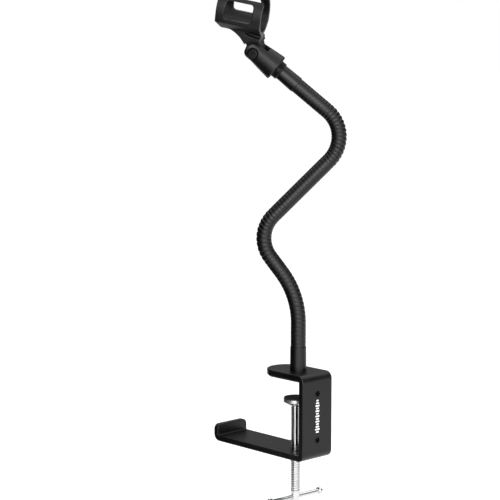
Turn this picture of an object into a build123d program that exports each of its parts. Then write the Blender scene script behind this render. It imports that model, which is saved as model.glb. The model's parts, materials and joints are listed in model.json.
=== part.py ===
"""Desk-clamp gooseneck microphone stand.

Frame: the origin is on the underside of the tongue pad, where the clamp sits on the desk,
straight below the gooseneck.  +Z is up, +Y points in over the desk, X runs along the desk's edge.
All sizes are in millimetres.
"""
import os

from build123d import *

# ---------------------------------------------------------------- driving dimensions
# Clamp bracket: one bent steel strip
PLATE_T = 5.0
PLATE_W = 34.5
BEND_R = 6.0
PLATE_EDGE_R = 0.8
TONGUE_PAD_T = 0.8
BACK_PAD_T = 0.6
PAD_INSET = 1.2
PAD_CORNER_R = 2.0
OUTER_Y = -22.7
TONGUE_END_Y = 12.6
NECK_HOLE_R = 3.05
COUNTERSINK_R = 5.6
LOWER_BOTTOM_Z = -66.5
LIP_OUTER_Y = 86.0
LIP_TOP_Z = -52.0
LIP_CORNER_R = 4.5
BACK_SCREW_SPACING = 39.0
BACK_SCREW_R = 2.0
BACK_SCREW_HEAD_R = 2.5
BACK_SCREW_HEAD_T = 2.2
BACK_SCREW_RECESS = 1.4
BACK_SCREW_SOCKET_R = 1.4
BACK_SCREW_SOCKET_DEPTH = 1.3
FIT_GAP = 0.05

# Clamp screw, foot and tommy bar
SCREW_Y = 3.0
SCREW_R = 3.92
SCREW_HOLE_R = 3.97
SCREW_SHOULDER_Z = -24.3
SCREW_BOTTOM_Z = -109.0
SCREW_PIN_R = 2.5
SCREW_PIN_BORE_R = 2.55
SCREW_PIN_TOP_Z = -20.2
SCREW_GROOVE_R = 2.0
SCREW_GROOVE_GAP = 0.1
SCREW_PIN_CHAMFER = 0.3
SCREW_END_CHAMFER = 0.8
BAR_Z = -103.0
BAR_R = 1.95
BAR_HOLE_R = 2.0
BAR_LENGTH = 57.0
BAR_TURN = -3.0
CAP_R = 3.1
CAP_LENGTH = 3.6
CAP_DEPTH = 2.6
CAP_EDGE_R = 0.9
CAP_BORE_GAP = 0.02
FOOT_TOP_Z = -17.5
FOOT_R = 10.0
FOOT_RIM_H = 2.6
FOOT_HUB_R = 6.0
FOOT_H = 5.2
FOOT_PAD_T = 1.2
FOOT_PAD_INSET = 0.4
FOOT_BORE_TOP_GAP = 0.2
RETAINER_R = 4.2
RETAINER_BORE_R = 2.1
RETAINER_T = 0.8
RETAINER_LIFT = 0.7

# Gooseneck: its centre line lies in one upright plane, turned NECK_TURN about Z
NECK_TURN = -45.0
NECK_KNEES = [(0.0, 69.2), (-37.0, 118.8), (45.9, 201.6)]
NECK_END = (-14.7, 252.3)
NECK_RADII = [71.0, 26.2, 27.5]
NECK_R = 6.35
NECK_BORE_R = 4.0
CORE_R = 3.9
FERRULE_R = 6.9
FERRULE_TOP_R = 6.7
TOP_FERRULE_END_R = 6.45
FERRULE_LIP = 0.5
BASE_FERRULE_LENGTH = 20.0
TOP_FERRULE_LENGTH = 16.4
CORE_INSERT = 7.0
BORE_END_GAP = 0.5
HINGE_COUNT = 8
FIRST_HINGE = 38.0
LAST_HINGE = 264.0
HINGE_GAP = 2.3
CORE_GAP = 4.6
NECK_SCREW_R = 3.0
NECK_SCREW_HEAD_T = 2.6
NECK_SCREW_RISE = 9.0
NECK_SCREW_SOCKET_R = 1.7
NECK_SCREW_SOCKET_DEPTH = 1.8
NECK_SCREW_HEAD_GAP = 0.1
NECK_SCREW_CHAMFER = 0.5

# Thread between the neck and the clip: 5/8 inch microphone thread
STUD_R = 7.85
STUD_BORE_R = 7.92
STUD_LENGTH = 13.0
STUD_CHAMFER = 0.7
SPIGOT_R = 4.9
SPIGOT_BORE_R = 4.95
SPIGOT_LENGTH = 6.5
BASE_LIFT = 4.6
INSERT_R = 9.0
INSERT_LENGTH = 9.2
INSERT_GAP = 0.03
INSERT_INSET = 0.2

# Microphone clip
CLIP_TURN = -24.0
CLIP_TILT = 60.0
CLIP_BASE_R = 11.1
CLIP_EAR_R = 9.0
EAR_DROP = 1.8
CLIP_BASE_CHAMFER = 0.9
PIVOT_LIFT = 22.6
SLOT_HALF = 4.6
SLOT_DEPTH = 8.3
SPOT_R = 4.6
SPOT_Y = 7.0
PIN_R = 2.5
PIN_BORE_R = 2.55
PIN_HEAD_R = 3.9
PIN_HEAD_T = 1.9
PIN_HEAD_EDGE_R = 0.7
PIN_DRIVE_WIDTH = 1.0
PIN_DRIVE_DEPTH = 0.9
PIN_END_RISE = 0.6
NUT_R = 4.2
NUT_T = 2.4
WASHER_R = 4.3
WASHER_T = 0.5
KNUCKLE_R = 7.9
KNUCKLE_HALF = 4.5
BLOCK_HALF = 8.2
BLOCK_CURVE = [(-29.0, 17.0), (-18.2, 14.9), (-12.2, 10.7), (-6.6, 3.6)]
BLOCK_HEEL = (6.4, 4.5)
BLOCK_SPINE = (4.2, 10.8)
POCKET = [(-10.0, 15.4), (-5.0, 13.8), (5.0, 12.4), (5.0, 19.5)]
POCKET_HALF = 4.4
SADDLE_R = 9.9
CRADLE_INNER_R = 12.0
CRADLE_WALL = 2.4
CRADLE_BEVEL = [(14.2, -6.8), (8.2, -12.6), (5.0, -14.4)]
CRADLE_LENGTH = 37.6
CRADLE_RIGHT_X = 4.4
CRADLE_AXIS_Z = 29.5
CRADLE_TOE = [(0.0, 7.2), (3.0, 2.0), (3.6, -2.0), (-2.0, -2.0), (-2.0, 7.2)]
ARM_RISE = 14.2
ARM_SPAN = 2.2
MOUTH_HALF = 7.6
WINDOW_X = -14.6
WINDOW_LENGTH = 23.2
WINDOW_Z = 3.8
WINDOW_HEIGHT = 14.6
WINDOW_R = 2.6

os.makedirs("parts", exist_ok=True)


def save(piece, name):
    """Label one finished sub-part and write its STEP file."""
    piece.label = name
    export_step(piece, f"parts/{name}.step")


# ---------------------------------------------------------------- levels and planes
tongue_top = TONGUE_PAD_T + PLATE_T
back_inner_y = OUTER_Y + PLATE_T
lower_top = LOWER_BOTTOM_Z + PLATE_T
back_middle_z = (tongue_top + LOWER_BOTTOM_Z) / 2
lip_inner_y = LIP_OUTER_Y - PLATE_T

neck_plane = Plane(
    origin=(0, 0, 0),
    x_dir=Vector(1, 0, 0).rotate(Axis.Z, NECK_TURN),
    z_dir=Vector(0, -1, 0).rotate(Axis.Z, NECK_TURN),
)

with BuildLine(neck_plane) as neck_line:
    FilletPolyline((0, tongue_top), *NECK_KNEES, NECK_END, radius=NECK_RADII)
neck_path = neck_line.wires()[0]
neck_length = neck_path.length


def along(distance):
    """Plane across the neck at a distance from its foot: z runs up the neck, y is square to its bends."""
    place = neck_path.position_at(distance / neck_length)
    heading = neck_path.tangent_at(distance / neck_length)
    return Plane(origin=place, x_dir=heading.cross(neck_plane.z_dir), z_dir=heading)


hinge_step = (LAST_HINGE - FIRST_HINGE) / (HINGE_COUNT - 1)
hinges = [FIRST_HINGE + hinge_step * i for i in range(HINGE_COUNT)]
ribbed_start = BASE_FERRULE_LENGTH
ribbed_end = neck_length - TOP_FERRULE_LENGTH

pivot_lift = BASE_LIFT + PIVOT_LIFT
clip_plane = along(neck_length).moved(Location((0, 0, 0), (0, 0, CLIP_TURN)))
cradle_plane = clip_plane.offset(pivot_lift).moved(Location((0, 0, 0), (0, CLIP_TILT, 0)))

# ---------------------------------------------------------------- clamp bracket
with BuildPart() as clamp_bracket:
    with BuildSketch(Plane.YZ) as strip:
        with BuildLine():
            Polyline(
                (TONGUE_END_Y, TONGUE_PAD_T),
                (TONGUE_END_Y, tongue_top),
                (OUTER_Y, tongue_top),
                (OUTER_Y, LOWER_BOTTOM_Z),
                (LIP_OUTER_Y, LOWER_BOTTOM_Z),
                (LIP_OUTER_Y, LIP_TOP_Z),
                (lip_inner_y, LIP_TOP_Z),
                (lip_inner_y, lower_top),
                (back_inner_y, lower_top),
                (back_inner_y, TONGUE_PAD_T),
                close=True,
            )
        make_face()
        outer_bends = [(OUTER_Y, tongue_top), (OUTER_Y, LOWER_BOTTOM_Z), (LIP_OUTER_Y, LOWER_BOTTOM_Z)]
        inner_bends = [(lip_inner_y, lower_top), (back_inner_y, lower_top), (back_inner_y, TONGUE_PAD_T)]
        corners = strip.vertices()
        fillet([corners.sort_by_distance((y, z))[0] for y, z in outer_bends], BEND_R)
        corners = strip.vertices()
        fillet([corners.sort_by_distance((y, z))[0] for y, z in inner_bends], BEND_R - PLATE_T)
    extrude(amount=PLATE_W / 2, both=True)
    with BuildSketch(Plane.XY.offset(TONGUE_PAD_T)):
        with Locations((0, TONGUE_END_Y)):
            Circle(PLATE_W / 2)
    extrude(amount=PLATE_T)
    lip_edges = clamp_bracket.faces().sort_by_distance((0, LIP_OUTER_Y - PLATE_T / 2, LIP_TOP_Z))[0].edges()
    fillet(lip_edges.filter_by(Axis.Y), LIP_CORNER_R)
    side_faces = clamp_bracket.faces().filter_by(Axis.X).sort_by(SortBy.AREA)[-2:]
    fillet(side_faces.edges(), PLATE_EDGE_R)
    with Locations(Plane.XY.offset(TONGUE_PAD_T)):
        with Locations(Location((0, 0, 0), (180, 0, 0))):
            CounterSinkHole(NECK_HOLE_R, COUNTERSINK_R)
    with Locations((0, SCREW_Y, lower_top)):
        Hole(SCREW_HOLE_R, depth=PLATE_T)
    with Locations(Plane(origin=(0, OUTER_Y, back_middle_z), x_dir=(1, 0, 0), z_dir=(0, -1, 0))):
        with GridLocations(1, BACK_SCREW_SPACING, 1, 2):
            CounterBoreHole(
                BACK_SCREW_R + FIT_GAP,
                BACK_SCREW_HEAD_R + FIT_GAP,
                BACK_SCREW_RECESS + BACK_SCREW_HEAD_T,
                depth=PLATE_T,
            )
save(clamp_bracket.part, "clamp_bracket")

# ---------------------------------------------------------------- pads and fixed screws
with BuildPart() as tongue_pad:
    with BuildSketch() as pad_outline:
        with Locations((0, TONGUE_END_Y)):
            Circle(PLATE_W / 2 - PAD_INSET)
        with Locations((0, (TONGUE_END_Y + back_inner_y + PAD_INSET) / 2)):
            Rectangle(PLATE_W - 2 * PAD_INSET, TONGUE_END_Y - back_inner_y - PAD_INSET)
    extrude(amount=TONGUE_PAD_T)
save(tongue_pad.part, "tongue_pad")

back_pad_height = -lower_top - 2 * BEND_R
back_pad_plane = Plane(origin=(0, back_inner_y, back_middle_z), x_dir=(1, 0, 0), z_dir=(0, 1, 0))
with BuildPart() as back_pad:
    with BuildSketch(back_pad_plane):
        RectangleRounded(PLATE_W - 2 * PAD_INSET, back_pad_height, PAD_CORNER_R)
    extrude(amount=BACK_PAD_T)
save(back_pad.part, "back_pad")

screw_head_y = OUTER_Y + BACK_SCREW_RECESS
screw_head_plane = Plane(origin=(0, screw_head_y, back_middle_z), x_dir=(1, 0, 0), z_dir=(0, 1, 0))
with BuildPart() as back_screws:
    with BuildSketch(screw_head_plane):
        with GridLocations(1, BACK_SCREW_SPACING, 1, 2):
            Circle(BACK_SCREW_HEAD_R)
    extrude(amount=BACK_SCREW_HEAD_T)
    with BuildSketch(screw_head_plane):
        with GridLocations(1, BACK_SCREW_SPACING, 1, 2):
            Circle(BACK_SCREW_R)
    extrude(amount=PLATE_T - BACK_SCREW_RECESS)
    with BuildSketch(screw_head_plane):
        with GridLocations(1, BACK_SCREW_SPACING, 1, 2):
            RegularPolygon(BACK_SCREW_SOCKET_R, 6)
    extrude(amount=BACK_SCREW_SOCKET_DEPTH, mode=Mode.SUBTRACT)
save(back_screws.part, "back_screws")

neck_screw_top = tongue_top + NECK_SCREW_RISE
neck_screw_bottom = TONGUE_PAD_T + NECK_SCREW_HEAD_GAP
with BuildPart() as neck_base_screw:
    with BuildSketch(Plane.XZ):
        with BuildLine():
            Polyline(
                (0, neck_screw_bottom),
                (COUNTERSINK_R - 0.25, neck_screw_bottom),
                (NECK_SCREW_R, TONGUE_PAD_T + NECK_SCREW_HEAD_T),
                (NECK_SCREW_R, neck_screw_top - NECK_SCREW_CHAMFER),
                (NECK_SCREW_R - NECK_SCREW_CHAMFER, neck_screw_top),
                (0, neck_screw_top),
                close=True,
            )
        make_face()
    revolve(axis=Axis.Z)
    with BuildSketch(Plane.XY.offset(neck_screw_bottom)):
        RegularPolygon(NECK_SCREW_SOCKET_R, 6)
    extrude(amount=NECK_SCREW_SOCKET_DEPTH, mode=Mode.SUBTRACT)
save(neck_base_screw.part, "neck_base_screw")

# ---------------------------------------------------------------- clamp screw, foot, tommy bar
screw_axis_plane = Plane(origin=(0, SCREW_Y, 0), x_dir=(1, 0, 0), z_dir=(0, -1, 0))
bar_heading = Vector(1, 0, 0).rotate(Axis.Z, BAR_TURN)
bar_plane = Plane(origin=(0, SCREW_Y, BAR_Z), x_dir=(0, 0, 1), z_dir=bar_heading)
foot_disc_top = FOOT_TOP_Z - FOOT_PAD_T
foot_bottom = foot_disc_top - FOOT_H
retainer_top = foot_bottom + RETAINER_LIFT + RETAINER_T
groove_top = retainer_top + SCREW_GROOVE_GAP
groove_bottom = retainer_top - RETAINER_T - SCREW_GROOVE_GAP
screw_centre = Axis((0, SCREW_Y, 0), (0, 0, 1))

with BuildPart() as clamp_screw:
    with BuildSketch(screw_axis_plane):
        with BuildLine():
            Polyline(
                (0, SCREW_PIN_TOP_Z),
                (SCREW_PIN_R - SCREW_PIN_CHAMFER, SCREW_PIN_TOP_Z),
                (SCREW_PIN_R, SCREW_PIN_TOP_Z - SCREW_PIN_CHAMFER),
                (SCREW_PIN_R, groove_top),
                (SCREW_GROOVE_R, groove_top),
                (SCREW_GROOVE_R, groove_bottom),
                (SCREW_PIN_R, groove_bottom),
                (SCREW_PIN_R, SCREW_SHOULDER_Z),
                (SCREW_R, SCREW_SHOULDER_Z),
                (SCREW_R, SCREW_BOTTOM_Z + SCREW_END_CHAMFER),
                (SCREW_R - SCREW_END_CHAMFER, SCREW_BOTTOM_Z),
                (0, SCREW_BOTTOM_Z),
                close=True,
            )
        make_face()
    revolve(axis=screw_centre)
    with BuildSketch(bar_plane):
        Circle(BAR_HOLE_R)
    extrude(amount=2 * SCREW_R, both=True, mode=Mode.SUBTRACT)
save(clamp_screw.part, "clamp_screw")

with BuildPart() as tommy_bar:
    with BuildSketch(bar_plane):
        Circle(BAR_R)
    extrude(amount=BAR_LENGTH / 2, both=True)
save(tommy_bar.part, "tommy_bar")

cap_inner = BAR_LENGTH / 2 - CAP_DEPTH
with BuildPart() as tommy_bar_caps:
    for side in (1, -1):
        with BuildSketch(bar_plane.offset(side * cap_inner)):
            Circle(CAP_R)
        extrude(amount=side * CAP_LENGTH)
    fillet(tommy_bar_caps.edges().filter_by(GeomType.CIRCLE), CAP_EDGE_R)
    with BuildSketch(bar_plane):
        Circle(BAR_R + CAP_BORE_GAP)
    extrude(amount=BAR_LENGTH / 2, both=True, mode=Mode.SUBTRACT)
save(tommy_bar_caps.part, "tommy_bar_caps")

with BuildPart() as pressure_foot:
    with BuildSketch(screw_axis_plane):
        with BuildLine():
            Polyline(
                (0, foot_disc_top),
                (FOOT_R, foot_disc_top),
                (FOOT_R, foot_disc_top - FOOT_RIM_H),
                (FOOT_HUB_R, foot_bottom),
                (RETAINER_R + FIT_GAP, foot_bottom),
                (RETAINER_R + FIT_GAP, retainer_top),
                (SCREW_PIN_BORE_R, retainer_top),
                (SCREW_PIN_BORE_R, SCREW_PIN_TOP_Z + FOOT_BORE_TOP_GAP),
                (0, SCREW_PIN_TOP_Z + FOOT_BORE_TOP_GAP),
                close=True,
            )
        make_face()
    revolve(axis=screw_centre)
save(pressure_foot.part, "pressure_foot")

with BuildPart() as foot_pad:
    with BuildSketch(Plane.XY.offset(foot_disc_top)):
        with Locations((0, SCREW_Y)):
            Circle(FOOT_R - FOOT_PAD_INSET)
    extrude(amount=FOOT_PAD_T)
save(foot_pad.part, "foot_pad")

with BuildPart() as foot_retainer:
    with BuildSketch(Plane.XY.offset(retainer_top)):
        with Locations((0, SCREW_Y)):
            Circle(RETAINER_R)
            Circle(RETAINER_BORE_R, mode=Mode.SUBTRACT)
        with Locations((RETAINER_R, SCREW_Y)):
            Rectangle(2 * RETAINER_R, 2 * RETAINER_BORE_R, mode=Mode.SUBTRACT)
    extrude(amount=-RETAINER_T)
save(foot_retainer.part, "foot_retainer")

# ---------------------------------------------------------------- gooseneck
with BuildPart() as neck_base_ferrule:
    with BuildSketch(Plane.XZ):
        with BuildLine():
            Polyline(
                (0, tongue_top),
                (FERRULE_R, tongue_top),
                (FERRULE_TOP_R, tongue_top + BASE_FERRULE_LENGTH - FERRULE_LIP),
                (FERRULE_TOP_R - FERRULE_LIP / 2, tongue_top + BASE_FERRULE_LENGTH),
                (0, tongue_top + BASE_FERRULE_LENGTH),
                close=True,
            )
        make_face()
    revolve(axis=Axis.Z)
    with BuildSketch(Plane.XY.offset(tongue_top)):
        Circle(NECK_HOLE_R)
    extrude(amount=NECK_SCREW_RISE + 1, mode=Mode.SUBTRACT)
    with BuildSketch(Plane.XY.offset(tongue_top + BASE_FERRULE_LENGTH)):
        Circle(NECK_BORE_R)
    extrude(amount=-CORE_INSERT - BORE_END_GAP, mode=Mode.SUBTRACT)
save(neck_base_ferrule.part, "neck_base_ferrule")


def swept_tube(start, end, radius, bore=0.0):
    """A round bar or tube that follows the neck's centre line from start to end."""
    with BuildPart() as tube:
        with BuildLine():
            add(neck_path.trim(start / neck_length, end / neck_length))
        with BuildSketch(along(start)):
            Circle(radius)
            if bore:
                Circle(bore, mode=Mode.SUBTRACT)
        sweep(transition=Transition.ROUND)
    return tube.part


sleeve_starts = [ribbed_start] + [place + HINGE_GAP for place in hinges]
sleeve_ends = [place - HINGE_GAP for place in hinges] + [ribbed_end]
core_starts = [ribbed_start - CORE_INSERT] + [place + CORE_GAP for place in hinges]
core_ends = hinges + [ribbed_end + CORE_INSERT]

for number in range(HINGE_COUNT + 1):
    with BuildPart() as neck_sleeve:
        add(swept_tube(sleeve_starts[number], sleeve_ends[number], NECK_R, NECK_BORE_R))
    save(neck_sleeve.part, f"neck_sleeve_{number + 1}")

    with BuildPart() as neck_core:
        add(swept_tube(core_starts[number], core_ends[number], CORE_R))
        if number < HINGE_COUNT:
            with Locations(along(hinges[number])):
                Sphere(CORE_R, arc_size1=0, align=(Align.CENTER, Align.CENTER, Align.MIN))
    save(neck_core.part, f"neck_core_{number + 1}")

top_ferrule_plane = along(ribbed_end)
with BuildPart() as neck_top_ferrule:
    with BuildSketch(top_ferrule_plane):
        Circle(FERRULE_R)
    with BuildSketch(along(neck_length)):
        Circle(TOP_FERRULE_END_R)
    loft()
    chamfer(neck_top_ferrule.edges().filter_by(GeomType.CIRCLE), FERRULE_LIP / 2)
    with BuildSketch(top_ferrule_plane):
        Circle(NECK_BORE_R)
    extrude(amount=CORE_INSERT + BORE_END_GAP, mode=Mode.SUBTRACT)
    with BuildSketch(along(neck_length)):
        Circle(SPIGOT_BORE_R)
    extrude(amount=-SPIGOT_LENGTH - BORE_END_GAP, mode=Mode.SUBTRACT)
save(neck_top_ferrule.part, "neck_top_ferrule")

with BuildPart() as neck_thread_stud:
    with BuildSketch(clip_plane):
        Circle(STUD_R)
    extrude(amount=STUD_LENGTH)
    chamfer(neck_thread_stud.edges().filter_by(GeomType.CIRCLE), STUD_CHAMFER)
    with BuildSketch(clip_plane):
        Circle(SPIGOT_R)
    extrude(amount=-SPIGOT_LENGTH)
save(neck_thread_stud.part, "neck_thread_stud")

# ---------------------------------------------------------------- clip base with two ears
clip_axis = Axis(clip_plane.origin, clip_plane.z_dir)
clip_side_plane = Plane(origin=clip_plane.origin, x_dir=clip_plane.x_dir, z_dir=-clip_plane.y_dir)
pivot_plane = Plane(
    origin=clip_plane.origin + clip_plane.z_dir * pivot_lift,
    x_dir=clip_plane.x_dir,
    z_dir=-clip_plane.y_dir,
)
ear_centre = pivot_lift - EAR_DROP
ear_top = ear_centre + CLIP_EAR_R + 1

with BuildPart() as clip_base:
    with BuildSketch(clip_side_plane):
        with BuildLine():
            Polyline(
                (0, BASE_LIFT),
                (CLIP_BASE_R - CLIP_BASE_CHAMFER, BASE_LIFT),
                (CLIP_BASE_R, BASE_LIFT + CLIP_BASE_CHAMFER),
                (CLIP_EAR_R, ear_centre),
                (CLIP_EAR_R, ear_top),
                (0, ear_top),
                close=True,
            )
        make_face()
    revolve(axis=clip_axis)
    with BuildSketch(clip_side_plane):
        with Locations((0, ear_centre + CLIP_BASE_R)):
            Rectangle(3 * CLIP_BASE_R, 2 * CLIP_BASE_R)
        with Locations((0, ear_centre)):
            Circle(CLIP_EAR_R, mode=Mode.SUBTRACT)
    extrude(amount=CLIP_BASE_R, both=True, mode=Mode.SUBTRACT)
    with BuildSketch(clip_side_plane):
        with Locations((0, pivot_lift - SLOT_DEPTH + 2 * CLIP_BASE_R)):
            Rectangle(3 * CLIP_BASE_R, 4 * CLIP_BASE_R)
    extrude(amount=SLOT_HALF, both=True, mode=Mode.SUBTRACT)
    with BuildSketch(clip_plane.offset(BASE_LIFT)):
        Circle(INSERT_R + INSERT_GAP)
    extrude(amount=INSERT_LENGTH, mode=Mode.SUBTRACT)
    with BuildSketch(pivot_plane):
        Circle(PIN_BORE_R)
    extrude(amount=CLIP_BASE_R, both=True, mode=Mode.SUBTRACT)
    for side in (1, -1):
        with BuildSketch(pivot_plane.offset(side * SPOT_Y)):
            Circle(SPOT_R)
        extrude(amount=side * CLIP_BASE_R, mode=Mode.SUBTRACT)
save(clip_base.part, "clip_base")

with BuildPart() as clip_thread_insert:
    with BuildSketch(clip_plane.offset(BASE_LIFT + INSERT_INSET)):
        Circle(INSERT_R)
        Circle(STUD_BORE_R, mode=Mode.SUBTRACT)
    extrude(amount=INSERT_LENGTH - 2 * INSERT_INSET)
save(clip_thread_insert.part, "clip_thread_insert")

pin_axis = Axis(pivot_plane.origin, pivot_plane.z_dir)
head_seat = SPOT_Y + WASHER_T
bolt_end = head_seat + NUT_T + PIN_END_RISE
with BuildPart() as pivot_bolt:
    with BuildSketch(pivot_plane.offset(-bolt_end)):
        Circle(PIN_R)
    extrude(amount=bolt_end + head_seat)
    with BuildSketch(pivot_plane.offset(head_seat)):
        Circle(PIN_HEAD_R)
    extrude(amount=PIN_HEAD_T)
    head_rim = pivot_bolt.edges().filter_by(GeomType.CIRCLE).sort_by(pin_axis)[-1]
    fillet(head_rim, PIN_HEAD_EDGE_R)
    with BuildSketch(pivot_plane.offset(head_seat + PIN_HEAD_T)):
        Rectangle(3 * PIN_HEAD_R, PIN_DRIVE_WIDTH)
    extrude(amount=-PIN_DRIVE_DEPTH, mode=Mode.SUBTRACT)
save(pivot_bolt.part, "pivot_bolt")

with BuildPart() as pivot_nut:
    with BuildSketch(pivot_plane.offset(-head_seat)):
        RegularPolygon(NUT_R, 6)
        Circle(PIN_R + INSERT_GAP, mode=Mode.SUBTRACT)
    extrude(amount=-NUT_T)
save(pivot_nut.part, "pivot_nut")

with BuildPart() as pivot_washers:
    for side in (1, -1):
        with BuildSketch(pivot_plane.offset(side * SPOT_Y)):
            Circle(WASHER_R)
            Circle(PIN_R + FIT_GAP, mode=Mode.SUBTRACT)
        extrude(amount=side * WASHER_T)
save(pivot_washers.part, "pivot_washers")

# ---------------------------------------------------------------- clip cradle with its knuckle
cradle_side_plane = Plane(origin=cradle_plane.origin, x_dir=cradle_plane.x_dir, z_dir=-cradle_plane.y_dir)
cradle_end_plane = Plane(
    origin=cradle_plane.origin + cradle_plane.x_dir * CRADLE_RIGHT_X,
    x_dir=cradle_plane.y_dir,
    z_dir=cradle_plane.x_dir,
)
cradle_left_x = CRADLE_RIGHT_X - CRADLE_LENGTH
cradle_outer_r = CRADLE_INNER_R + CRADLE_WALL
block_top_z = CRADLE_AXIS_Z - CRADLE_INNER_R + 1

with BuildPart() as clip_cradle:
    # neck block that spreads from the knuckle to the underside of the cradle
    with BuildSketch(cradle_side_plane):
        with BuildLine():
            Spline(*BLOCK_CURVE)
            Polyline(
                BLOCK_CURVE[-1],
                (0, 0),
                BLOCK_HEEL,
                BLOCK_SPINE,
                (BLOCK_SPINE[0], block_top_z),
                (BLOCK_CURVE[0][0], block_top_z),
                BLOCK_CURVE[0],
            )
        make_face()
    extrude(amount=BLOCK_HALF, both=True)
    for side in (1, -1):
        with BuildSketch(cradle_side_plane.offset(side * KNUCKLE_HALF)):
            Circle(SADDLE_R)
        extrude(amount=side * BLOCK_HALF, mode=Mode.SUBTRACT)
        with BuildSketch(cradle_side_plane.offset(side * POCKET_HALF)):
            Polygon(*POCKET, align=None)
        extrude(amount=side * BLOCK_HALF, mode=Mode.SUBTRACT)
    with BuildSketch(cradle_side_plane):
        Circle(KNUCKLE_R)
    extrude(amount=KNUCKLE_HALF, both=True)
    # open ring that holds the microphone: bevelled below, its arms drawn in over the top
    with BuildSketch(cradle_end_plane):
        with Locations((0, CRADLE_AXIS_Z)):
            Ellipse(cradle_outer_r, cradle_outer_r + ARM_SPAN)
            with Locations((0, -cradle_outer_r)):
                Rectangle(4 * cradle_outer_r, 2 * cradle_outer_r, mode=Mode.SUBTRACT)
            Polygon(
                (-cradle_outer_r, 0),
                *[(-y, z) for y, z in CRADLE_BEVEL],
                *reversed(CRADLE_BEVEL),
                (cradle_outer_r, 0),
                align=None,
            )
            with Locations((0, 2 * cradle_outer_r + ARM_RISE)):
                Rectangle(4 * cradle_outer_r, 4 * cradle_outer_r, mode=Mode.SUBTRACT)
            with Locations((0, cradle_outer_r)):
                Rectangle(2 * MOUTH_HALF, 2 * cradle_outer_r, mode=Mode.SUBTRACT)
    extrude(amount=-CRADLE_LENGTH)
    with BuildSketch(cradle_end_plane):
        with Locations((0, CRADLE_AXIS_Z)):
            Ellipse(CRADLE_INNER_R, CRADLE_INNER_R + ARM_SPAN)
            with Locations((0, -CRADLE_INNER_R)):
                Rectangle(4 * CRADLE_INNER_R, 2 * CRADLE_INNER_R, mode=Mode.SUBTRACT)
            Circle(CRADLE_INNER_R)
    extrude(amount=-CRADLE_LENGTH, mode=Mode.SUBTRACT)
    with BuildSketch(cradle_side_plane):
        with Locations((cradle_left_x, CRADLE_AXIS_Z - cradle_outer_r)):
            Polygon(*CRADLE_TOE, align=None)
        with Locations((WINDOW_X, CRADLE_AXIS_Z + WINDOW_Z)):
            RectangleRounded(WINDOW_LENGTH, WINDOW_HEIGHT, WINDOW_R)
    extrude(amount=cradle_outer_r + 1, both=True, mode=Mode.SUBTRACT)
    with BuildSketch(cradle_side_plane):
        Circle(PIN_BORE_R)
    extrude(amount=KNUCKLE_HALF, both=True, mode=Mode.SUBTRACT)
save(clip_cradle.part, "clip_cradle")
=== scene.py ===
"""Looks of the desk-clamp gooseneck microphone stand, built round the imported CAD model."""
import json
import math

import bpy
from mathutils import Matrix, Vector


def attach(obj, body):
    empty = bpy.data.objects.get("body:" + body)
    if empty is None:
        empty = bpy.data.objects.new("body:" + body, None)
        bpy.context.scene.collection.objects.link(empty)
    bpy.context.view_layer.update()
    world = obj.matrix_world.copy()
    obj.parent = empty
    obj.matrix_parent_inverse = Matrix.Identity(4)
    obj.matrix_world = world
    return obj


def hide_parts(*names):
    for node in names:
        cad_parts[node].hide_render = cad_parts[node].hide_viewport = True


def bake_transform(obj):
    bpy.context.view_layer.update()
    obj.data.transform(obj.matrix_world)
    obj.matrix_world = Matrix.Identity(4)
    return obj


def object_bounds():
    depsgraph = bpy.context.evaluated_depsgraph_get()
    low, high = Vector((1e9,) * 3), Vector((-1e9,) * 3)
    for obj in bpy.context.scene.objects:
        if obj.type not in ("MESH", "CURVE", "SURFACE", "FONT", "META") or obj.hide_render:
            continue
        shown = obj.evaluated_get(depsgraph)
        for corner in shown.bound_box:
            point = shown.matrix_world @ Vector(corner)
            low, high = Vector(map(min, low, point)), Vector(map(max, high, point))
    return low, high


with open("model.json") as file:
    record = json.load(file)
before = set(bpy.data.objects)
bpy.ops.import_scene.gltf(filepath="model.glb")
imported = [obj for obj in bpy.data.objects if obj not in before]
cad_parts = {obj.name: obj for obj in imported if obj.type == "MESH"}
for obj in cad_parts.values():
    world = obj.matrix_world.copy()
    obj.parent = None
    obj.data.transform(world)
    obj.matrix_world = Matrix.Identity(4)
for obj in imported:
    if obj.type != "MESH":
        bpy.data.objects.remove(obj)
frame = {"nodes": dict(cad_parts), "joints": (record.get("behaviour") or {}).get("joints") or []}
cad_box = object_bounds()
nodes = frame["nodes"]
MM = 0.001

# ---------------------------------------------------------------- driving sizes, in metres
# gooseneck
NECK_TURN = math.radians(-45.0)
NECK_FOOT = (0.0, 5.8 * MM)
NECK_KNEES = [(0.0, 69.2 * MM), (-37.0 * MM, 118.8 * MM), (45.9 * MM, 201.6 * MM)]
NECK_END = (-14.7 * MM, 252.3 * MM)
NECK_RADII = [71.0 * MM, 26.2 * MM, 27.5 * MM]
BASE_FERRULE = 20.0 * MM
TOP_FERRULE = 16.4 * MM
FIRST_HINGE = 38.0 * MM
LAST_HINGE = 264.0 * MM
HINGE_COUNT = 8
NECK_R = 6.35 * MM
NECK_SIDES = 60
NECK_ROWS_A_TURN = 14
LOWER_PITCH = 3.55 * MM
UPPER_PITCH = 3.12 * MM
PITCH_CHANGE = 125.0 * MM
SHARPEST_BEND = 38.0  # radians a metre, where the grooves are fully open
BEND_REACH = 6.0 * MM  # how far to either side a bend is measured
CLOSED_GROOVE = 0.08 * MM
OPEN_GROOVE = 0.58 * MM
MEAN_OPENING = 0.6  # of a groove in a bend, from shut to open
OPENING_SWING = 0.4  # more than that on the bend's outside, and less on its inside
GROOVE_HALF_WIDTH = 0.50 * MM
BLEND_HALF = 13.0 * MM

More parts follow.
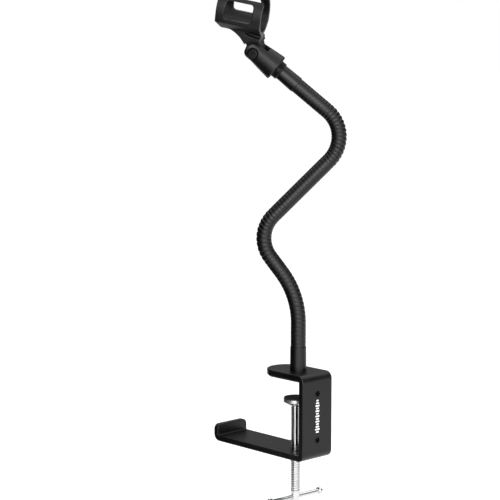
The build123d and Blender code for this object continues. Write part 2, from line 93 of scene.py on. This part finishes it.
# clamp screw: 8 mm, with a trapezoidal thread of 2 mm pitch
SCREW_Y = 3.0 * MM
SCREW_R = 3.92 * MM
SCREW_PITCH = 2.0 * MM
SCREW_SIDES = 48
SCREW_SHOULDER_Z = -24.3 * MM
SHOULDER_CHAMFER = 0.6 * MM
THREAD_END_Z = -97.5 * MM
THREAD_RUN_OUT = 0.3 * MM
SHANK_INSET = 0.12 * MM
SCREW_BOTTOM_Z = -109.0 * MM
SCREW_CHAMFER = 0.8 * MM
SCREW_PIN_R = 2.5 * MM
SCREW_PIN_TOP_Z = -20.2 * MM
PIN_GROOVE_LOW_Z = -23.3 * MM
PIN_GROOVE_HIGH_Z = -22.3 * MM
PIN_GROOVE_R = 2.0 * MM
BAR_Z = -103.0 * MM
BAR_HOLE_R = 2.0 * MM
BAR_HOLE_REACH = 6.0 * MM
BAR_TURN = math.radians(-3.0)

# stud between neck and clip: 5/8 inch microphone thread, 27 turns to the inch
STUD_R = 7.85 * MM
STUD_SIDES = 80
STUD_PITCH = 25.4 / 27 * MM
STUD_LENGTH = 13.0 * MM
STUD_CHAMFER = 0.7 * MM
SPIGOT_R = 4.9 * MM
SPIGOT_LENGTH = 6.5 * MM

# shares of the pitch that a thread is deep, flat at its crest and flat at its root
SHARP_THREAD = (0.613, 0.125, 0.25)
TRAPEZOIDAL_THREAD = (0.45, 0.366, 0.366)
THREAD_ROWS_A_TURN = 16

# faces that meet at more than this angle, in degrees, keep a crisp edge
THREAD_CREASE = 35.0
PRINT_CREASE = 30.0

# printed mark on the back of the clamp
FACE_Y = -22.7 * MM
MARK_TOP_Z = -15.4 * MM
MARK_STEP = 2.2 * MM
MARK_BAR = 1.3 * MM
MARK_WIDTHS = [2.6, 3.8, 4.8, 3.4, 4.4, 3.0, 4.8, 3.6, 4.6, 3.2, 4.2, 5.4, 3.4]
MARK_PROUD = 0.03 * MM
MARK_END_STEPS = 8

# moulded clip: smallest detail, how softly and how often its edges are smoothed, share of faces kept
MOULD_VOXEL = 0.26 * MM
MOULD_SOFTNESS = 0.5
MOULD_SMOOTHING = 12
MOULD_FACES_KEPT = 0.25

# materials: detail of the noise, and the part of its range that the shades and the gloss use
PATCH_DETAIL = 5.0
GRAIN_DETAIL = 3.0
SHADE_SPAN = (0.35, 0.65)
GLOSS_SPAN = (0.3, 0.7)
DULL_SPECULAR = 0.26

# camera
CAMERA_AIM = Vector((-0.0208, 0.0364, 0.1050))
CAMERA_DISTANCE = 1.275
CAMERA_YAW = math.radians(43.27)
CAMERA_PITCH = math.radians(7.04)
LENS_MM = 110.2
SENSOR_MM = 36.0
NEAREST_SEEN = 0.05

# studio: lights as azimuth and elevation in degrees, distance, size and power
WORLD_LIGHT = 0.26
SUN_STRENGTH = 3.1
SUN_SPREAD = math.radians(100.0)
SOFTBOXES = {
    "key": (-43.0, 12.0, 1.5, 0.9, 17.0),
    "fill": (-10.0, 14.0, 1.5, 1.2, 13.0),
    "edge": (-80.0, 12.0, 1.5, 1.0, 5.0),
}
FLOOR_SIZE = 40.0
FLOOR_DROP = 0.5 * MM

# the black card's distance from the object and height above the floor, at each of its folds
CARD_PROFILE = [(0.13, 0.0), (0.30, 0.0), (0.32, 0.02), (0.32, 0.60)]
CARD_HALF = 0.45


# ---------------------------------------------------------------- the neck's centre line
class NeckPath:
    """Straight runs joined by tangent arcs, in the upright plane turned NECK_TURN about Z."""

    def __init__(self, points, radii):
        self.across = Vector((math.cos(NECK_TURN), math.sin(NECK_TURN), 0.0))
        self.up = Vector((0.0, 0.0, 1.0))
        self.square = self.up.cross(self.across)
        self.pieces = []
        here = Vector(points[0])
        for index, radius in enumerate(radii):
            corner, after = Vector(points[index + 1]), Vector(points[index + 2])
            into = (corner - here).normalized()
            out = (after - corner).normalized()
            turn = math.atan2(into.x * out.y - into.y * out.x, into.dot(out))
            tangent = radius * math.tan(abs(turn) / 2)
            arc_start = corner - into * tangent
            self.pieces.append(("line", here, into, (arc_start - here).length, 0.0))
            left = Vector((-into.y, into.x)) * math.copysign(1.0, turn)
            centre = arc_start + left * radius
            self.pieces.append(("arc", centre, -left * radius, radius * abs(turn), turn))
            here = corner + out * tangent
        last = Vector(points[-1])
        self.pieces.append(("line", here, (last - here).normalized(), (last - here).length, 0.0))
        self.length = sum(piece[3] for piece in self.pieces)

    def at(self, distance):
        """Point and direction at a distance from the neck's foot."""
        rest = min(max(distance, 0.0), self.length)
        for piece in self.pieces:
            if rest <= piece[3] or piece is self.pieces[-1]:
                break
            rest -= piece[3]
        kind, base, arm, length, turn = piece
        if kind == "line":
            flat, heading = base + arm * rest, arm
        else:
            spoke = Matrix.Rotation(turn * rest / length, 2) @ arm
            flat = base + spoke
            heading = Vector((-spoke.y, spoke.x)).normalized() * math.copysign(1.0, turn)
        point = self.across * flat.x + self.up * flat.y
        return point, self.across * heading.x + self.up * heading.y

    def curvature(self, distance):
        """Turn in radians a metre round a distance, signed about the normal of the neck's plane."""
        _, before = self.at(distance - BEND_REACH)
        _, after = self.at(distance + BEND_REACH)
        return before.cross(after).dot(self.square) / (2 * BEND_REACH)


neck = NeckPath([NECK_FOOT, *NECK_KNEES, NECK_END], NECK_RADII)
hinge_step = (LAST_HINGE - FIRST_HINGE) / (HINGE_COUNT - 1)
hinges = [FIRST_HINGE + hinge_step * number for number in range(HINGE_COUNT)]


# ---------------------------------------------------------------- mesh helpers
def new_piece(name, verts, faces, material):
    """A smooth-shaded mesh object, its vertices in the model's own frame."""
    mesh = bpy.data.meshes.new(name)
    mesh.from_pydata(verts, [], faces)
    mesh.validate()
    mesh.shade_smooth()
    mesh.materials.append(material)
    piece = bpy.data.objects.new(name, mesh)
    bpy.context.scene.collection.objects.link(piece)
    return piece


def ring_skin(rings):
    """Vertices and faces of a closed skin over equal rings of points, with a fan at each end."""
    count = len(rings[0])
    verts = [point for ring in rings for point in ring]
    faces = []
    for row in range(len(rings) - 1):
        for k in range(count):
            a, b = row * count + k, row * count + (k + 1) % count
            faces.append((a, b, b + count, a + count))
    for row, flip in ((0, True), (len(rings) - 1, False)):
        centre = len(verts)
        verts.append(sum((Vector(p) for p in rings[row]), Vector()) / count)
        for k in range(count):
            a, b = row * count + k, row * count + (k + 1) % count
            faces.append((centre, b, a) if flip else (centre, a, b))
    return verts, faces


def turned(levels, place, around):
    """Rings round a local Z axis from (height, radius or function of angle) rows, put in place."""
    rings = []
    for height, radius in levels:
        ring = []
        for k in range(around):
            angle = 2 * math.pi * k / around
            r = radius(angle) if callable(radius) else radius
            ring.append(place @ Vector((r * math.cos(angle), r * math.sin(angle), height)))
        rings.append(ring)
    return ring_skin(rings)


def thread_levels(low, high, radius, pitch, form, chamfer_low, chamfer_high):
    """Rows of a screw thread of one form from low to high, run out into a chamfer at either end."""
    deep, crest, root = form
    flank = (1 - crest - root) / 2
    count = round((high - low) / pitch * THREAD_ROWS_A_TURN)

    def row(height):
        limit = min(radius, radius - chamfer_low + (height - low), radius - chamfer_high + (high - height))

        def profile(angle):
            turn = (height / pitch - angle / (2 * math.pi)) % 1.0
            away = abs(turn - 0.5) - crest / 2
            drop = min(max(away / flank, 0.0), 1.0)
            return min(limit, radius - deep * pitch * drop)

        return height, profile

    return [row(low + (high - low) * index / count) for index in range(count + 1)]


def cut_away(piece, tool):
    """Takes the tool's shape out of the piece and deletes the tool."""
    modifier = piece.modifiers.new("cut", "BOOLEAN")
    modifier.operation = "DIFFERENCE"
    modifier.solver = "EXACT"
    modifier.object = tool
    graph = bpy.context.evaluated_depsgraph_get()
    mesh = bpy.data.meshes.new_from_object(piece.evaluated_get(graph))
    piece.modifiers.clear()
    piece.data = mesh
    bpy.data.objects.remove(tool)


def sharp_edges(piece, degrees):
    """Keeps flat faces flat beside a rounded one."""
    piece.data.set_sharp_from_angle(angle=math.radians(degrees))


# ---------------------------------------------------------------- materials
def node_material(name, dark, light, roughness, metallic=0.0, grain=900.0, bump=0.1,
                  bump_distance=0.05 * MM, rough_spread=0.08, patch_scale=60.0, specular=0.5):
    """Two close shades in soft patches, gloss that changes with them and a fine surface relief."""
    material = bpy.data.materials.new(name)
    material.use_nodes = True
    tree = material.node_tree
    shader = tree.nodes["Principled BSDF"]
    shader.inputs["Metallic"].default_value = metallic
    shader.inputs["Specular IOR Level"].default_value = specular
    place = tree.nodes.new("ShaderNodeTexCoord")
    patches = tree.nodes.new("ShaderNodeTexNoise")
    patches.inputs["Scale"].default_value = patch_scale
    patches.inputs["Detail"].default_value = PATCH_DETAIL
    shades = tree.nodes.new("ShaderNodeValToRGB")
    for stop, position, shade in zip(shades.color_ramp.elements, SHADE_SPAN, (dark, light)):
        stop.position = position
        stop.color = (*shade, 1.0)
    gloss = tree.nodes.new("ShaderNodeMapRange")
    gloss.inputs["From Min"].default_value = GLOSS_SPAN[0]
    gloss.inputs["From Max"].default_value = GLOSS_SPAN[1]
    gloss.inputs["To Min"].default_value = roughness - rough_spread / 2
    gloss.inputs["To Max"].default_value = roughness + rough_spread / 2
    fine = tree.nodes.new("ShaderNodeTexNoise")
    fine.inputs["Scale"].default_value = grain
    fine.inputs["Detail"].default_value = GRAIN_DETAIL
    relief = tree.nodes.new("ShaderNodeBump")
    relief.inputs["Strength"].default_value = bump
    relief.inputs["Distance"].default_value = bump_distance
    link = tree.links.new
    link(place.outputs["Object"], patches.inputs["Vector"])
    link(place.outputs["Object"], fine.inputs["Vector"])
    link(patches.outputs["Fac"], shades.inputs["Fac"])
    link(shades.outputs["Color"], shader.inputs["Base Color"])
    link(patches.outputs["Fac"], gloss.inputs["Value"])
    link(gloss.outputs["Result"], shader.inputs["Roughness"])
    link(fine.outputs["Fac"], relief.inputs["Height"])
    link(relief.outputs["Normal"], shader.inputs["Normal"])
    return material


def grey(value):
    """A neutral colour."""
    return (value, value, value)


powder = node_material("black_powder_coat", grey(0.0008), grey(0.0022), 0.36, grain=1500.0, bump=0.35,
                       specular=DULL_SPECULAR)
neck_black = node_material("neck_black", grey(0.0008), grey(0.0020), 0.34, grain=2200.0, bump=0.15,
                           specular=DULL_SPECULAR)
ferrule_black = node_material("ferrule_black", grey(0.0008), grey(0.0020), 0.30, grain=2600.0,
                              specular=DULL_SPECULAR)
clip_plastic = node_material("clip_plastic", grey(0.0010), grey(0.0026), 0.40, grain=2400.0, bump=0.35,
                             specular=DULL_SPECULAR)
screw_black = node_material("screw_black", grey(0.0006), grey(0.0016), 0.34, grain=2600.0,
                            specular=DULL_SPECULAR)
rubber = node_material("rubber", grey(0.004), grey(0.009), 0.78, grain=1500.0, bump=0.5,
                       bump_distance=0.1 * MM, specular=DULL_SPECULAR)
chrome = node_material("chrome", grey(0.52), grey(0.60), 0.08, metallic=1.0, grain=3000.0, bump=0.05,
                       rough_spread=0.04, patch_scale=400.0)
zinc = node_material("zinc", grey(0.42), grey(0.56), 0.36, metallic=1.0, grain=2000.0, bump=0.12,
                     patch_scale=900.0)
steel = node_material("spring_steel", grey(0.34), grey(0.46), 0.34, metallic=1.0, patch_scale=500.0)
brass = node_material("brass", (0.60, 0.41, 0.16), (0.74, 0.53, 0.23), 0.28, metallic=1.0,
                      patch_scale=300.0)
print_white = node_material("print_white", grey(0.62), grey(0.74), 0.55, grain=4000.0, patch_scale=1500.0)
pale_floor = node_material("pale_floor", grey(0.90), grey(0.92), 0.85, grain=200.0, bump=0.02,
                           patch_scale=3.0)

node_looks = {
    "clamp_bracket": powder, "tongue_pad": rubber, "back_pad": rubber, "foot_pad": rubber,
    "back_screws": screw_black, "neck_base_screw": screw_black, "neck_base_ferrule": ferrule_black,
    "neck_top_ferrule": ferrule_black, "neck_thread_stud": ferrule_black, "clamp_screw": chrome,
    "tommy_bar": chrome, "tommy_bar_caps": chrome, "pressure_foot": zinc, "foot_retainer": steel,
    "clip_base": clip_plastic, "clip_cradle": clip_plastic, "clip_thread_insert": brass,
    "pivot_bolt": screw_black, "pivot_nut": zinc, "pivot_washers": screw_black,
}
for name, node in nodes.items():
    look = node_looks.get(name, steel if "core" in name else neck_black)
    node.data.materials.clear()
    node.data.materials.append(look)


# ---------------------------------------------------------------- ribbed neck
def turns(distance):
    """How many turns of the winding lie below a distance: it is a little coarser near the foot."""
    lower = min(distance, PITCH_CHANGE)
    return lower / LOWER_PITCH + (distance - lower) / UPPER_PITCH


def groove(distance, angle, bend):
    """How deep the winding's groove is: shut on straight runs, open in a bend, most on its outside."""
    pitch = LOWER_PITCH if distance < PITCH_CHANGE else UPPER_PITCH
    phase = turns(distance) - angle / (2 * math.pi)
    gap = (phase - round(phase)) * pitch
    opening = (MEAN_OPENING * abs(bend) - OPENING_SWING * bend * math.cos(angle)) / SHARPEST_BEND
    depth = CLOSED_GROOVE + (OPEN_GROOVE - CLOSED_GROOVE) * min(1.0, opening)
    return depth * math.exp(-((gap / GROOVE_HALF_WIDTH) ** 2))


def neck_piece(number, start, end):
    """The winding round one hinge, from the middle of one rigid stretch to the middle of the next."""
    rows = round((turns(end) - turns(start)) * NECK_ROWS_A_TURN)
    rings = []
    for row in range(rows + 1):
        distance = start + (end - start) * row / rows
        point, heading = neck.at(distance)
        bend = neck.curvature(distance)
        side = neck.square.cross(heading).normalized()
        ring = []
        for k in range(NECK_SIDES):
            angle = 2 * math.pi * k / NECK_SIDES
            radius = NECK_R - groove(distance, angle, bend)
            ring.append(point + (side * math.cos(angle) - neck.square * math.sin(angle)) * radius)
        rings.append(ring)
    verts, faces = ring_skin(rings)
    return new_piece(f"neck_winding_{number + 1}", verts, faces, neck_black)


ribbed_end = neck.length - TOP_FERRULE
middles = [(a + b) / 2 for a, b in zip(hinges, hinges[1:])]
cuts = [BASE_FERRULE, *middles, ribbed_end]
for number in range(HINGE_COUNT):
    piece = neck_piece(number, cuts[number], cuts[number + 1])
    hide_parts(f"neck_sleeve_{number + 1}", f"neck_sleeve_{number + 2}")
    lower, _ = neck.at(hinges[number] - BLEND_HALF)
    upper, _ = neck.at(hinges[number] + BLEND_HALF)
    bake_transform(piece)


# ---------------------------------------------------------------- clamp screw with its thread
screw_place = Matrix.Translation((0.0, SCREW_Y, 0.0))
shank_r = SCREW_R - SHANK_INSET
levels = [
    (SCREW_BOTTOM_Z, SCREW_R - SCREW_CHAMFER),
    (SCREW_BOTTOM_Z + SCREW_CHAMFER, shank_r),
    (THREAD_END_Z, shank_r),
    *thread_levels(THREAD_END_Z, SCREW_SHOULDER_Z, SCREW_R, SCREW_PITCH, TRAPEZOIDAL_THREAD,
                   THREAD_RUN_OUT, SHOULDER_CHAMFER),
    (SCREW_SHOULDER_Z, SCREW_PIN_R),
    (PIN_GROOVE_LOW_Z, SCREW_PIN_R),
    (PIN_GROOVE_LOW_Z, PIN_GROOVE_R),
    (PIN_GROOVE_HIGH_Z, PIN_GROOVE_R),
    (PIN_GROOVE_HIGH_Z, SCREW_PIN_R),
    (SCREW_PIN_TOP_Z, SCREW_PIN_R),
]
screw_piece = new_piece("clamp_screw_thread", *turned(levels, screw_place, SCREW_SIDES), chrome)
bore_turn = Matrix.Rotation(BAR_TURN, 4, "Z") @ Matrix.Rotation(math.pi / 2, 4, "Y")
bore_place = Matrix.Translation((0.0, SCREW_Y, BAR_Z)) @ bore_turn
bore_levels = [(-BAR_HOLE_REACH, BAR_HOLE_R), (BAR_HOLE_REACH, BAR_HOLE_R)]
bore_tool = new_piece("bore_tool", *turned(bore_levels, bore_place, SCREW_SIDES), chrome)
cut_away(screw_piece, bore_tool)
sharp_edges(screw_piece, THREAD_CREASE)
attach(screw_piece, "screw")
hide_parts("clamp_screw")

# ---------------------------------------------------------------- threaded stud
stud_foot, stud_heading = neck.at(neck.length)
stud_place = Matrix.Translation(stud_foot) @ stud_heading.to_track_quat("Z", "Y").to_matrix().to_4x4()
levels = [
    (-SPIGOT_LENGTH, SPIGOT_R),
    (0.0, SPIGOT_R),
    *thread_levels(0.0, STUD_LENGTH, STUD_R, STUD_PITCH, SHARP_THREAD, STUD_CHAMFER, STUD_CHAMFER),
]
stud_piece = new_piece("microphone_thread", *turned(levels, stud_place, STUD_SIDES), ferrule_black)
sharp_edges(stud_piece, THREAD_CREASE)
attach(stud_piece, f"neck_{HINGE_COUNT + 1}")
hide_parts("neck_thread_stud")


# ---------------------------------------------------------------- moulded clip
def moulded(name, node_name, body):
    """A CAD node's shape with the softly rounded edges of moulded plastic."""
    mesh = nodes[node_name].data.copy()
    mesh.name = name
    piece = bpy.data.objects.new(name, mesh)
    bpy.context.scene.collection.objects.link(piece)
    remesh = piece.modifiers.new("remesh", "REMESH")
    remesh.mode = "VOXEL"
    remesh.voxel_size = MOULD_VOXEL
    soften = piece.modifiers.new("soften", "SMOOTH")
    soften.factor = MOULD_SOFTNESS
    soften.iterations = MOULD_SMOOTHING
    thin = piece.modifiers.new("thin", "DECIMATE")
    thin.ratio = MOULD_FACES_KEPT
    graph = bpy.context.evaluated_depsgraph_get()
    final = bpy.data.meshes.new_from_object(piece.evaluated_get(graph))
    piece.modifiers.clear()
    piece.data = final
    final.materials.clear()
    final.materials.append(clip_plastic)
    final.shade_smooth()
    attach(piece, body)
    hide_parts(node_name)


moulded("clip_base_moulding", "clip_base", "clip_mount")
moulded("clip_cradle_moulding", "clip_cradle", "clip")


# ---------------------------------------------------------------- printed mark on the clamp
def printed_bar(number, centre_z, width):
    """One round-ended bar of a plain printed mark, a film proud of the clamp's back face."""
    half, end = width / 2 - MARK_BAR / 2, MARK_BAR / 2
    outline = []
    for side in (1, -1):
        for index in range(MARK_END_STEPS + 1):
            angle = side * math.pi / 2 - math.pi * index / MARK_END_STEPS
            outline.append((side * half + end * math.cos(angle), centre_z + end * math.sin(angle)))
    rings = [[(x, y, z) for x, z in outline] for y in (FACE_Y + MARK_PROUD, FACE_Y - MARK_PROUD)]
    piece = new_piece(f"printed_bar_{number}", *ring_skin(rings), print_white)
    sharp_edges(piece, PRINT_CREASE)
    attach(piece, "clamp")


for number, width in enumerate(MARK_WIDTHS):
    printed_bar(number + 1, MARK_TOP_Z - MARK_STEP * (number + 0.5), width * MM)


# ---------------------------------------------------------------- camera, light and floor
camera_data = bpy.data.cameras.new("camera")
camera_data.lens = LENS_MM
camera_data.sensor_width = SENSOR_MM
camera_data.clip_start = NEAREST_SEEN
camera = bpy.data.objects.new("camera", camera_data)
bpy.context.scene.collection.objects.link(camera)
camera.rotation_euler = (math.pi / 2 - CAMERA_PITCH, 0.0, -CAMERA_YAW)
looking = Vector((
    math.cos(CAMERA_PITCH) * math.sin(CAMERA_YAW),
    math.cos(CAMERA_PITCH) * math.cos(CAMERA_YAW),
    -math.sin(CAMERA_PITCH),
))
camera.location = CAMERA_AIM - looking * CAMERA_DISTANCE
bpy.context.scene.camera = camera

world = bpy.data.worlds.new("studio")
world.use_nodes = True
world_nodes = world.node_tree.nodes
world_link = world.node_tree.links.new
sky = world_nodes["Background"]
sky.inputs["Color"].default_value = (1.0, 1.0, 1.0, 1.0)
sky.inputs["Strength"].default_value = WORLD_LIGHT
backdrop = world_nodes.new("ShaderNodeBackground")
backdrop.inputs["Color"].default_value = (1.0, 1.0, 1.0, 1.0)
rays = world_nodes.new("ShaderNodeLightPath")
choose = world_nodes.new("ShaderNodeMixShader")
world_link(rays.outputs["Is Camera Ray"], choose.inputs["Fac"])
world_link(sky.outputs["Background"], choose.inputs[1])
world_link(backdrop.outputs["Background"], choose.inputs[2])
world_link(choose.outputs["Shader"], world_nodes["World Output"].inputs["Surface"])
bpy.context.scene.world = world
bpy.context.scene.view_settings.view_transform = "Standard"


def soft_light(name, azimuth, elevation, distance, size, power):
    """A square softbox that looks at the object from an azimuth and an elevation in degrees."""
    turn, lift = math.radians(azimuth), math.radians(elevation)
    away = Vector((math.sin(turn) * math.cos(lift), -math.cos(turn) * math.cos(lift), math.sin(lift)))
    data = bpy.data.lights.new(name, "AREA")
    data.size = size
    data.energy = power
    lamp = bpy.data.objects.new(name, data)
    bpy.context.scene.collection.objects.link(lamp)
    lamp.location = CAMERA_AIM + away * distance
    lamp.rotation_euler = (-away).to_track_quat("-Z", "Y").to_euler()


# an even dome of light from above keeps the floor white out to the horizon
overhead_data = bpy.data.lights.new("overhead", "SUN")
overhead_data.energy = SUN_STRENGTH
overhead_data.angle = SUN_SPREAD
bpy.context.scene.collection.objects.link(bpy.data.objects.new("overhead", overhead_data))

for name, (azimuth, elevation, distance, size, power) in SOFTBOXES.items():
    soft_light(name, azimuth, elevation, distance, size, power)

# the floor lies just under the clamp screw's lowest position
screw_travel = next(joint for joint in frame["joints"] if joint["name"] == "screw_travel")
floor_level = cad_box[0].z + screw_travel["range_m"][0] - FLOOR_DROP
floor_corners = [(x * FLOOR_SIZE, y * FLOOR_SIZE, floor_level) for x, y in
                 ((-1, -1), (1, -1), (1, 1), (-1, 1))]
floor = new_piece("floor", floor_corners, [(0, 1, 2, 3)], pale_floor)

# a bent black card beside the object, seen only in its gloss, as studios use for dark edges
card_away = Vector((-math.cos(CAMERA_YAW), math.sin(CAMERA_YAW), 0.0))
card_along = Vector((math.sin(CAMERA_YAW), math.cos(CAMERA_YAW), 0.0))
card_foot = Vector((CAMERA_AIM.x, CAMERA_AIM.y, floor_level + FLOOR_DROP / 2))
card_corners = [
    card_foot + card_away * away + card_along * (CARD_HALF * side) + Vector((0.0, 0.0, height))
    for away, height in CARD_PROFILE
    for side in (-1, 1)
]
card_faces = [(2 * k, 2 * k + 1, 2 * k + 3, 2 * k + 2) for k in range(len(CARD_PROFILE) - 1)]
card = new_piece("black_card", card_corners, card_faces, rubber)
card.visible_camera = False
card.visible_diffuse = False
card.visible_shadow = False

bpy.context.view_layer.update()
